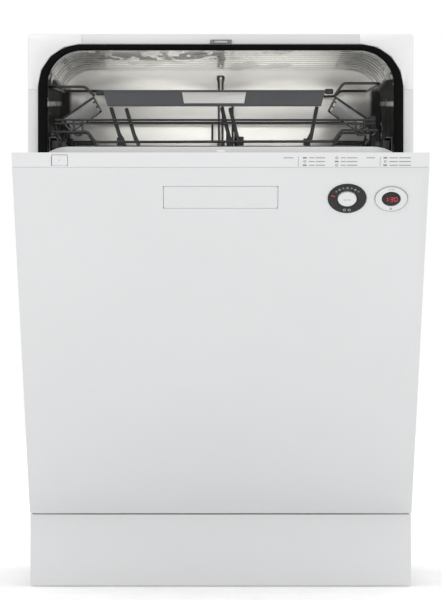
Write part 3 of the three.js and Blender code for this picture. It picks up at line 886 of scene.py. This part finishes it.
class DISHWASHER_OT_water(Piece, bpy.types.Operator):
    """Makes the sump, pump, softener, filter, spray arms and door springs"""

    bl_idname = "dishwasher.water"
    bl_label = "Water works"

    def execute(self, context):
        dress_node("sump", 0.6, 2)
        pump = turned("circulation_pump_piece", (90.4, 210, 148), (1, 0, 0), [
            (30, 0), (35, 2), (36, 6), (36, 34), (34, 38), (30, 40), (30, 60), (29, 61), (29, 64),
            (30, 65), (30, 90), (29, 91), (29, 94), (30, 95), (30, 126), (27, 130), (22, 133),
            (12, 134), (12, 140), (8, 141.4)], 48)
        dress(pump, "works_grey", "cabinet", "circulation_pump", shader="works_black")
        dress_node("softener", 4, 4, shader="works_white")
        cup = softened("filter_cup", 0.8)
        grip = block("grip", (-42, 170.6, 206.6), (42, 173.4, 212.6))
        dress(join("filter_cup_piece", cup, soften(grip, 0.8)), "works_grey", "filter_cup", "filter_cup")
        cap = turned("salt_cap_piece", (-170, 170, 0), (0, 0, 1), [
            (19, 192), (20, 193), (20, 203.5), (29.2, 203.6), (30, 204.6), (30, 209), (28.6, 210),
            (13, 210.6), (12, 213.4), (10.5, 214)], 40)
        wing = block("wing", (-192, 168, 210), (-148, 172, 213.6))
        dress(join("salt_cap_piece", cap, soften(wing, 1)), "works_grey", "salt_cap", "salt_cap",
              shader="works_white")
        lower = arm_piece("lower_spray_arm", 0, 265, 222, 218.5, 227.6, [
            (18, 216), (20, 217), (20, 230), (18, 231.6), (9, 232), (8, 230.4)], 7)
        dress(lower, "works_grey", "lower_spray_arm", "lower_spray_arm")
        upper = arm_piece("upper_spray_arm", -9.5, 260, 205, 674, 681.6, [
            (14, 672.6), (16, 673.4), (16, 683), (14, 684.5)], 6)
        dress(upper, "works_grey", "upper_spray_arm", "upper_spray_arm")
        self.springs()
        return {"FINISHED"}

    def springs(self):
        """Each coil is one ring of wire drawn round and along by the screw, with hooks at both ends."""
        turns = self.look.spring_coils
        for side, sign in SIDES:
            only()
            bpy.ops.mesh.primitive_circle_add(
                vertices=8, radius=0.0012, fill_type="NOTHING", location=(0, 0, 0.0066),
                rotation=(math.pi / 2, 0, math.pi / 2))
            coil = settle(bpy.context.object, "coil")
            modify(coil, "SCREW", angle=2 * math.pi * turns, screw_offset=0.216, axis="Y",
                   steps=14 * turns, render_steps=14 * turns, use_merge_vertices=False)
            bpy.ops.transform.translate(value=at(sign * 275.5, 192, 60))
            settle(coil)
            with Editing(coil, "VERT", whole=True):
                bpy.ops.mesh.fill_holes(sides=0)
            x = sign * 275.5
            hooks = [wire("hook", [(x, end, 60), (x, coil_end, 60), (x, coil_end, 66.6)], 1.2, 3)
                     for end, coil_end in ((181, 192), (419, 408))]
            spring = face_out(join(f"balance_spring_{side}_piece", coil, *hooks))
            dress(smooth(spring, 60), "zinc_steel", "cabinet", f"balance_spring_{side}")


# ---------- Racks ----------
def prongs(name, x, z, lean, front, count, pitch, height, body, *nodes):
    """A row of thick round prongs on a foot wire, upright and then leaned about its foot."""
    tine = wire("tine", [(x, front, z - 1), (x, front, z + height)], 2.9, 5, 10)
    top = at(0, 0, z + height).z
    press(tine, lambda middle, way: way.z > 0.9 and abs(middle.z - top) < 1e-4, (0.7, 0.9))
    row = repeat(tine, 2, (0, pitch, 0))
    low_front = front + 2 * pitch
    low = wire("low_tine", [(x, low_front, z - 1), (x, low_front, z + height * 0.3)], 2.0, 5, 8)
    low_row = repeat(low, count - 2, (0, pitch, 0))
    foot = wire("foot", [(x, front - 6, z), (x, front + pitch * (count - 1) + 8, z)], 2.0, 5, 8)
    made = join(name, row, low_row, foot)
    turn(made, math.radians(lean), "Y", at(x, 0, z))
    return dress(made, "coated_wire", body, *nodes)


class DISHWASHER_OT_upper_rack(Piece, bpy.types.Operator):
    """Bends the upper rack's wires, prong rows, cup shelves, handle and hangers"""

    bl_idname = "dishwasher.upper_rack"
    bl_label = "Upper rack"

    def execute(self, context):
        self.basket()
        self.handle()
        self.tines()
        self.shelves()
        self.hangers()
        return {"FINISHED"}

    def basket(self):
        gauge = self.look.wire_gauge / MM / 2
        count = self.look.rib_count
        section = [(-261, 725), (-258, 710), (-208, 710), (-197, 688),
                   (176, 688), (189, 710), (240, 710), (243, 725)]
        front, back = RACK_FRONT, RACK_BACK
        hoop_front = 102
        hoop = wire("rib", [(x, hoop_front, z) for x, z in section], gauge * 0.85, 9)
        hoops = repeat(hoop, 2, (0, back - hoop_front, 0))
        first = 140
        bend = ((-206, 706), (-197, 688), (176, 688), (187, 706))
        floor_rib = wire("rib", [(x, first, z) for x, z in bend], gauge * 0.8, 7)
        ribs = repeat(floor_rib, count, (0, (back - first - 12) / (count - 1), 0))
        runs = [wire("run", [(x, front - 1, z), (x, back + 1, z)], gauge * 0.85)
                for x, z in ((-257.6, 706.6), (-208, 706.6), (189, 706.6), (239.6, 706.6))]
        runs += [wire("run", [(x, front - 1, 684.8), (x, back + 1, 684.8)], gauge * 0.8)
                 for x in (-196, -150, -103, -56, 37, 83, 130, 176)]
        rims = [
            wire("rim", [(-262, back, 797), (-264, 33, 778.6), (-211, 33, 778.6), (-196, 31, 764)],
                 gauge, 8),
            wire("rim", [(246, back, 799), (246, 33, 784), (191, 33, 784), (178, 31, 766)], gauge, 8),
            wire("rear_rim", [(x, back, z) for x, z in (
                (-262, 799), (-200, 799), (-191, 790), (190, 790), (201, 799), (246, 799))], gauge, 8),
        ]
        rims += [wire("post", [(x, back, low), (x, back, high)], gauge * 0.85)
                 for x, low, high in ((-14, 714, 746), (20, 690, 789))]
        bands = [wire("band", [(-258, 34.5, z), (240, 34.5, z)], gauge * 0.8) for z in (727, 721.6)]
        bands += [wire("band", [(-260, back, z), (242, back, z)], gauge * 0.85) for z in (746, 714)]
        foot_rim = wire("foot_rim", [(-264, 33.4, 708.4), (-207, 33.4, 708.4), (-195, 33.4, 692.6),
                                     (175, 33.4, 693.6), (188, 33.4, 711), (244, 33.4, 711)], gauge, 8)
        loops = [wire("loop", [(x + dx, 35, z) for dx, z in ((-7, 727), (-7, 703), (7, 703), (7, 727))],
                      gauge * 0.75, 6) for x in (-222, 217)]
        basket = join("upper_basket_piece", hoops, ribs, *runs, *rims, *bands, foot_rim, *loops)
        dress(basket, "coated_wire", "upper_rack", "upper_basket")
        cradle = block("arm_cradle", (-21.5, 250, 685), (2.5, 479, 689))
        hub = turned("hub", (-9.5, 260, 0), (0, 0, 1),
                     [(16, 685), (16, 690), (12, 692.4), (6, 692.6)], 32)
        dress(join("arm_cradle", soften(cradle, 1.6), hub), "works_grey", "upper_rack")

    def handle(self):
        """The handle moulding, its face pressed in, with a blank pale plate set into its face."""
        strip = block("upper_handle_piece", (HANDLE_LEFT, 22, 748), (HANDLE_RIGHT, 33, 773))
        self.narrow_foot(strip, 332 / (HANDLE_RIGHT - HANDLE_LEFT))
        press(strip, facing(y=-1), (2.2, 0), (1.2, -0.8))
        dress(soften(strip, 0.4, 3), "handle_grey", "upper_rack", "upper_handle")
        ends = [soften(block("end", (x, 24, z), (x + 13, 35, z + 8)), 2)
                for x, z in ((HANDLE_LEFT - 11, 765), (HANDLE_RIGHT - 1, 767))]
        dress(join("handle_ends", *ends), "handle_grey", "upper_rack", shader="works_black")
        plate = block("handle_plate", (-60, 21.2, 752), (39.5, 24, 769.4))
        self.narrow_foot(plate, 0.94)
        press(plate, facing(y=-1), (1.6, -0.6))
        dress(soften(plate, 0.5), "handle_grey", "upper_rack", shader="plate_pale")

    def narrow_foot(self, obj, share):
        """Draws a block's underside in to a share of its width, so its ends slope."""
        with Editing(obj) as edit:
            edit.pick(facing(z=-1))
            bpy.ops.transform.resize(value=(share, 1, 1))

    def tines(self):
        front, pitch, count, height = 62, 32.8, 13, 50
        for side, x, lean in (("left", -157, -16.7), ("middle", 14, -14), ("right", 141, 11)):
            node = f"upper_tines_{side}"
            prongs(f"{node}_piece", x, 699.5, lean, front, count, pitch, height, node, node)
        for side, x, lean in (("left", -133, -16.7), ("middle", 27, -14)):
            prongs(f"fixed_tines_{side}", x, 697.5, lean, front - 12, count, pitch, height, "upper_rack")
        clips = []
        for x, top in ((-157, 701), (14, 701), (30, 702), (134, 699)):
            for y in (50, 468):
                clip = block("clip", (x - 5, y, 688), (x + 6, y + 6, top))
                clips.append(soften(clip, 1.2))
        dress(join("prong_clips", *clips), "coated_wire", "upper_rack", shader="works_black")

    def shelves(self):
        """A wire frame with fluted steel plates, laid flat and then leaned on its hinge wire."""
        for (side, sign), pivot in zip(SIDES, (-250, 231)):
            body, level = f"cup_shelf_{side}", 729

            def x(out):
                return pivot - sign * out

            hinge = wire("hinge", [(x(0), 456, level), (x(0), 66, level)], 1.9)
            edge = [(x(2), 454, level), (x(62), 454, level), (x(62), 68, level), (x(2), 68, level)]
            bars = [wire("bar", [(x(1), y, 731), (x(61), y, 731)], 1.2) for y in (200, 330)]
            lowest, highest = sorted((x(5), x(57)))
            flutes = 9
            step = (highest - lowest) / flutes
            plate = block("plate", (lowest, 76, 728.2), (highest, 448, 729.6))
            cut(plate, 0, *(lowest + step * i for i in range(1, flutes)))
            with Editing(plate) as edit:
                edit.pick(lambda middle, way: abs(way.z) > 0.9
                          and int((middle.x / MM - lowest) / step) % 2 == 0)
                bpy.ops.transform.translate(value=(0, 0, 0.0004))
            shelf = join(f"{body}_piece", hinge, wire("edge", edge, 1.8, 8), *bars)
            steel = join(f"{body}_plates", smooth(plate, 20))
            for made in (shelf, steel):
                turn(made, sign * math.radians(34.6), "Y", at(pivot, 0, 729))
            dress(shelf, "coated_wire", body, body)
            dress(steel, "rail_steel", body, shader="shelf_steel")

    def hangers(self):
        """The side lugs on the runners, their rollers and the height adjuster."""
        for side, sign in SIDES:
            dress_node(f"rail_{side}", 0.4)
            dress_node(f"slider_{side}", 0.8, shader="works_black")
            inner = 245 if sign < 0 else 238
            parts = []
            for y in (110, 414):
                low, high = sorted((sign * 251.4, sign * inner))
                parts.append(soften(block("lug", (low, y - 5, 684), (high, y + 9, 716)), 1.4))
                parts.append(turned("knob", (sign * inner, y + 2, 706), (-sign, 0, 0),
                                    [(5.4, 0), (5.4, 2.4), (4.4, 3.4), (2, 3.6)], 20))
            if sign > 0:
                parts.append(soften(block("grip", (231, 58, 712), (244, 80, 735)), 2.2))
                parts.append(soften(block("trigger", (222, 52, 716), (233, 58, 729)), 1.6))
            dress(join(f"rack_hanger_{side}", *parts), "works_grey", "upper_rack", shader="works_black")
            rollers = []
            for y in (30, 462):
                rollers.append(turned("roller", (sign * 240, y, 688), (sign, 0, 0),
                                      [(5, 0), (6, 0.8), (6, 7), (5, 8), (2.4, 8.2), (2.2, 10)], 24))
            dress(join(f"rack_rollers_{side}", *rollers), "works_grey", "cabinet", shader="works_black")


class DISHWASHER_OT_lower_rack(Piece, bpy.types.Operator):
    """Bends the lower rack's wires and makes its prongs, cutlery basket and wheels"""

    bl_idname = "dishwasher.lower_rack"
    bl_label = "Lower rack"

    def execute(self, context):
        gauge = self.look.wire_gauge / MM / 2
        count = self.look.rib_count
        front, back = 46, 474
        rib = wire("rib", [(-257.4, front, 333), (-250, front, 243.4), (250, front, 243.4),
                           (257.4, front, 333)], gauge * 0.85, 14)
        ribs = repeat(rib, count, (0, 427 / (count - 1), 0))
        runs = [wire("run", [(x, front, 239.8), (x, back, 239.8)], gauge * 0.85)
                for x in range(-240, 241, 48)]
        hoops = []
        for z, half in ((333, 257.4), (300, 254.6), (268, 252)):
            hoops.append(wire("hoop", [(-half, back, z), (-half, front - 0.4, z), (half, front - 0.4, z),
                                       (half, back, z)], gauge, 12))
            hoops.append(wire("hoop", [(-half, back, z), (half, back, z)], gauge))
        plates = []
        for y in (88, 430):
            for side, sign in SIDES:
                low, high = sorted((sign * 247.6, sign * 251.6))
                plates.append(soften(block("axle_plate", (low, y - 8, 214), (high, y + 8, 243)), 1.2))
                plates.append(turned("axle", (sign * 250, y, 220), (sign, 0, 0),
                                     [(3.6, 0), (3.6, 12), (2.8, 12.6)], 16))
        basket = join("lower_basket_piece", ribs, *runs, *hoops, *plates)
        dress(basket, "coated_wire", "lower_rack", "lower_basket")
        row = self.tine_row(300, 247, 328, 18)
        foot = wire("foot", [(-222, 300, 248), (222, 300, 248)], 2)
        dress(join("lower_tines_piece", row, foot), "coated_wire", "lower_tines", "lower_tines")
        fixed_tines = [self.tine_row(y, 242, 318, count) for y, count in ((180, 9), (390, 18))]
        dress(join("fixed_lower_tines", *fixed_tines), "coated_wire", "lower_rack")
        self.cutlery()
        self.wheels()
        return {"FINISHED"}

    def tine_row(self, y, foot, top, count):
        """A row of prongs from the left wall across the rack."""
        return repeat(wire("tine", [(-218, y, foot), (-218, y, top)], 2, 5), count, (25.6, 0, 0))

    def cutlery(self):
        """A lattice basket with a carrying bow and three bays."""
        shell = softened("cutlery_basket", 0.5)
        slats = []
        for x in range(44, 232, 12):
            for y in (51.2, 127.4):
                slats.append(block("slat", (x, y, 262), (x + 5, y + 1.4, 366)))
        for z in (276, 300, 324, 348):
            for y in (51.0, 127.6):
                slats.append(block("band", (34, y, z), (232, y + 1.4, z + 3)))
        walls = [block("bay", (x, 54.5, 250), (x + 1.8, 125.5, 372)) for x in (98, 166)]
        bow = wire("bow", [(133, 58, 366), (133, 58, 384), (133, 122, 384), (133, 122, 366)],
                   3.6, 12, 10)
        dress(join("cutlery_basket_piece", shell, *slats, *walls, bow), "handle_grey", "cutlery_basket",
              "cutlery_basket")

    def wheels(self):
        for end, y in (("front", 88), ("rear", 430)):
            for side, sign in SIDES:
                name = f"lower_wheel_{end}_{side}"
                wheel = turned(f"{name}_piece", (sign * 254.6, y, 220), (sign, 0, 0), [
                    (15, 0), (16.6, 1), (16.6, 6), (15.4, 7), (12.4, 7), (11.6, 5.6), (7, 5.4), (6.2, 7),
                    (4.4, 7.4)], 36)
                dots = []
                for step in range(6):
                    out, up = (9.2 * way(step * math.pi / 3) for way in (math.cos, math.sin))
                    dots.append(turned("dot", (sign * 260, y + out, 220 + up), (sign, 0, 0),
                                       [(1.8, 0), (1.8, 0.8), (1.2, 1.1)], 10))
                dress(join(f"{name}_piece", wheel, *dots), "wheel_blue", name, name)


# ---------- Door ----------
class DISHWASHER_OT_door(Piece, bpy.types.Operator):
    """Makes the painted door, its top strip, the pressed inner door and the hinge arms"""

    bl_idname = "dishwasher.door"
    bl_label = "Door"

    def execute(self, context):
        dress_node("door_panel", 1.4, 4)
        dress_node("control_strip", 0.9, 3, shader="strip_white")
        liner = softened("door_liner", 1.5, 3)
        dress(liner, "tub_steel", "door", "door_liner", shader="liner_steel")
        pressings = []
        for low, high in ((250, 480), (665, 800)):
            panel = block("pressing", (-215, 17, low), (215, 19.2, high))
            round_edges(panel, 1, lambda middle: True, 30, 8)
            pressings.append(smooth(press(panel, facing(y=1), (8, 0), (4, -0.6))))
        dress(swing(join("liner_pressings", *pressings)), "tub_steel", "door", shader="liner_steel")
        for side, sign in SIDES:
            dress_node(f"hinge_arm_{side}", 0.6)
            screws = [turned("screw", (sign * 288.5, -5, z), (0, 1, 0),
                             [(4, 0), (3.8, 1.2), (2.2, 1.8), (1.6, 0.9)], 16) for z in (330, 560, 790)]
            dress(swing(join(f"liner_screws_{side}", *screws)), "zinc_steel", "door")
        dress_node("latch_hook", 0.5)
        self.dispenser()
        return {"FINISHED"}

    def dispenser(self):
        dress_node("dispenser", 2.0, 3)
        lid = block("dispenser_lid_piece", (-66, 27.4, 516), (6, 29.4, 604))
        round_edges(lid, 1, lambda middle: True, 8, 6)
        press(lid, facing(y=1), (4, 0), (1.5, -0.7))
        tab = soften(block("tab", (-40, 28.8, 596), (-20, 31, 603)), 0.8)
        lid = swing(join("dispenser_lid_piece", smooth(lid), tab))
        dress(lid, "works_grey", "dispenser_lid", "dispenser_lid")
        cap = turned("rinse_cap_piece", (42, 0, 570), (0, 1, 0),
                     [(16, 27.4), (17, 28), (17, 29.6), (16, 30), (6, 30.2)], 36)
        grip = soften(block("grip", (40, 29, 556), (44, 33, 584)), 0.9)
        cap = swing(join("rinse_cap_piece", cap, grip))
        dress(cap, "works_grey", "rinse_cap", "rinse_cap", shader="works_white")


# ---------- Controls ----------
def ring(name, x, y, z, inner, outer, height, sides=40):
    """A flat raised ring facing out of the door."""
    only()
    bpy.ops.mesh.primitive_circle_add(vertices=sides, radius=outer * MM, fill_type="NGON",
                                      location=at(x, y, z), rotation=(math.pi / 2, 0, 0))
    obj = settle(bpy.context.object, name)
    with Editing(obj, whole=True):
        bpy.ops.mesh.inset(thickness=(outer - inner) * MM, depth=0)
        bpy.ops.mesh.delete(type="FACE")
    return face_out(modify(obj, "SOLIDIFY", thickness=height * MM, offset=0))


def bar(name, x, y, z, width, height, thick=0.3):
    """A flat raised bar facing out of the door, from its middle and its face."""
    return block(name, (x - width / 2, y - thick, z - height / 2), (x + width / 2, y, z + height / 2))


class DISHWASHER_OT_controls(Piece, bpy.types.Operator):
    """Makes the handle flap, the dial and start button with their window, and the printed marks"""

    bl_idname = "dishwasher.controls"
    bl_label = "Controls"

    def execute(self, context):
        self.handle()
        self.dial()
        self.start()
        self.strip()
        return {"FINISHED"}

    def handle(self):
        dress_node("handle_recess", 0.8)
        low, high = shut_box("handle_flap")
        flap = block("handle_flap_piece", (low.x, low.y, low.z), (high.x, low.y + 3, high.z))
        round_edges(flap, 1, lambda middle: True, 2.6, 5)
        pin = wire("pin", [(low.x + 1, -21.5, high.z - 3), (high.x - 1, -21.5, high.z - 3)], 1.8)
        flap = swing(join("handle_flap_piece", soften(flap, 0.5), pin))
        dress(flap, "white_enamel", "handle_flap", "handle_flap")

    def dial(self):
        x, z = shut_middle("select_button")
        body = turned("dial_ring_piece", (x, 0, z), (0, -1, 0), [
            (27.8, 20), (27.8, 25.6), (27.0, 26.6), (26.0, 27), (16.2, 26.6), (14.9, 26.0), (14.3, 25),
            (14.2, 20.4)], 64)
        dress(swing(body), "dial_grey", "dial_ring", "dial_ring")
        marks = []
        for step in range(7):
            angle = math.radians(42 + step * 16)
            cx, cz = x + 21.4 * math.cos(angle), z + 21.4 * math.sin(angle)
            if step % 2:
                marks.append(ring("mark", cx, -26.85, cz, 0.9, 1.6, 0.3, 12))
            else:
                marks.append(bar("mark", cx, -26.8, cz, 2.6, 0.7))
                marks.append(bar("mark", cx, -26.8, cz + 1.4, 1.6, 0.6))
        for dx in (-3.4, 3.4):
            marks.append(ring("mark", x + dx, -26.85, z - 20.6, 1.4, 2.2, 0.3, 16))
        dress(swing(join("dial_marks", *marks)), "dial_grey", "dial_ring", shader="print_pale")
        tip_x, tip_z = x - 20.5, z + 6.2
        pointer = turn(bar("dial_pointer", tip_x, -26.7, tip_z, 4.6, 1.3, 0.4), math.radians(16), "Y",
                       at(tip_x, 0, tip_z))
        dress(swing(pointer), "dial_grey", "dial_ring", shader="lamp_red")
        button = turned("select_button_piece", (x, 0, z), (0, -1, 0), [
            (13.5, 20), (13.7, 26.4), (13.2, 27.3), (11.5, 28.1), (7, 28.45)], 56)
        dress(swing(button), "white_enamel", "select_button", "select_button")
        words = [bar("mark", x + dx, -28.4, z, width, 0.9, 0.15)
                 for dx, width in ((-3.6, 2.6), (0, 3), (3.8, 3))]
        dress(swing(join("select_mark", *words)), "white_enamel", "select_button", shader="print_grey")

    def start(self):
        x, z = shut_middle("start_button")
        body = turned("start_button_piece", (x, 0, z), (0, -1, 0), [
            (23.4, 21.6), (23.6, 25.0), (23.0, 25.9), (21.8, 26.2), (15, 26.2), (13.9, 25.9),
            (13.5, 25.2), (13.45, 21.9)], 64)
        dress(swing(body), "white_enamel", "start_button", "start_button")
        # Painted shade: a thin grey ring on the button's rim stands for the dark outline round it.
        edge = ring("start_edge_shade", x, -26.0, z, 22.9, 23.7, 0.5, 64)
        dress(swing(edge), "white_enamel", "start_button", shader="print_pale")
        lens = turned("display_lens_piece", (x, 0, z), (0, -1, 0), [
            (13.0, 22.5), (13.0, 25.9), (12.6, 26.4), (11, 26.6)], 56)
        dress(swing(lens), "lens_black", "start_button", "display_lens")
        dress(swing(self.figures(x, z)), "lens_black", "start_button", shader="lamp_red")
        marks = [ring("mark", x, -26.3, z - 18.6, 1.2, 1.9, 0.2, 16)]
        marks += [bar("mark", x + dx, -26.25, z + dz, width, height, 0.2) for dx, dz, width, height in (
            (0, -17.2, 0.7, 2.2), (-2.2, 18.2, 3, 0.8), (2.4, 18.2, 3.6, 0.8))]
        dress(swing(join("start_marks", *marks)), "white_enamel", "start_button", shader="print_grey")

    def figures(self, x, z):
        """Three seven-bar figures and a colon."""
        level, upright = (3.2, 0.8), (0.8, 3.0)
        bars = {"a": (0, 3.6, *level), "b": (1.9, 1.8, *upright), "c": (1.9, -1.8, *upright),
                "d": (0, -3.6, *level), "e": (-1.9, -1.8, *upright), "f": (-1.9, 1.8, *upright),
                "g": (0, 0, *level)}
        shapes = {"1": "bc", "3": "abgcd", "0": "abcdef"}
        parts = []
        for figure, left in (("1", -7.2), ("3", 0.6), ("0", 6.6)):
            for key in shapes[figure]:
                dx, dz, w, h = bars[key]
                parts.append(bar("lit", x + left + dx, -26.5, z + dz, w, h, 0.25))
        parts += [bar("lit", x - 3.4, -26.5, z + dz, 0.9, 0.9, 0.25) for dz in (-1.6, 1.6)]
        return join("display_figures", *parts)

    def strip(self):
        """Printed guide lines and small plain marks on the sloping strip, and the power button."""
        lean, foot = math.atan2(5.5, 22), at(0, STRIP_FACE, STRIP_FOOT)
        face = STRIP_FACE + 0.05
        dress_node("power_button", 0.4, 3, shader="strip_white")
        lines = [bar("line", x, face, 838.4, 0.6, 15.5, 0.15) for x in (-241.2, -218.6, 110.6, 227.2)]
        sign = [ring("sign", -229.8, -25.1, 838.2, 2.4, 3.3, 0.2, 20),
                bar("sign", -229.8, -25.05, 841.2, 0.8, 3.4, 0.2)]
        marks = []
        columns = ((119.8, (8, 13)), (165.2, (7, 15)), (234.4, (12, 17)))
        for row, z in enumerate((844.2, 838.3, 832.4)):
            for column, (x, widths) in enumerate(columns):
                if (row + column) % 2:
                    marks.append(ring("icon", x, -25.05, z, 1.2, 2.0, 0.15, 12))
                else:
                    marks.append(bar("icon", x, face, z, 5.4, 2.4, 0.15))
                left = x + 6
                for width in widths:
                    marks.append(bar("text", left + width / 2, face, z, width, 1.2, 0.12))
                    left += width + 1.6
        marks += [bar("text", x, face, 844.2, width, 1.2, 0.12)
                  for x, width in ((96.6, 14), (213.8, 12))]
        prints = turn(join("strip_marks", *lines, *sign, *marks), -lean, "X", foot)
        dress(swing(prints), "white_enamel", "door", shader="print_grey")


# ---------- Panel and register ----------
class DISHWASHER_PT_sidebar(bpy.types.Panel):
    """Lists the dishwasher's sizes, colours and pieces"""

    bl_idname = "DISHWASHER_PT_sidebar"
    bl_label = "Built-in dishwasher"
    bl_space_type = "VIEW_3D"
    bl_region_type = "UI"
    bl_category = "Dishwasher"

    def draw(self, context):
        for name in DishwasherSettings.__annotations__:
            self.layout.prop(context.scene.dishwasher, name)
        for piece in PIECES:
            self.layout.operator(piece.bl_idname)


PIECES = (
    DISHWASHER_OT_stage,
    DISHWASHER_OT_shell,
    DISHWASHER_OT_tub,
    DISHWASHER_OT_water,
    DISHWASHER_OT_upper_rack,
    DISHWASHER_OT_lower_rack,
    DISHWASHER_OT_door,
    DISHWASHER_OT_controls,
)
CLASSES = (DishwasherSettings, *PIECES, DISHWASHER_PT_sidebar)


def register():
    for made in CLASSES:
        bpy.utils.register_class(made)
    bpy.types.Scene.dishwasher = PointerProperty(type=DishwasherSettings)


def unregister():
    del bpy.types.Scene.dishwasher
    for made in reversed(CLASSES):
        bpy.utils.unregister_class(made)


def main():
    register()
    for piece in PIECES:
        getattr(bpy.ops.dishwasher, piece.bl_idname.split(".")[1])()
    for name, node in frame["nodes"].items():
        if not node.hide_render:
            node.data.materials.clear()
            node.data.materials.append(finish(SLOT_OF[name]))


if __name__ == "__main__":
    main()
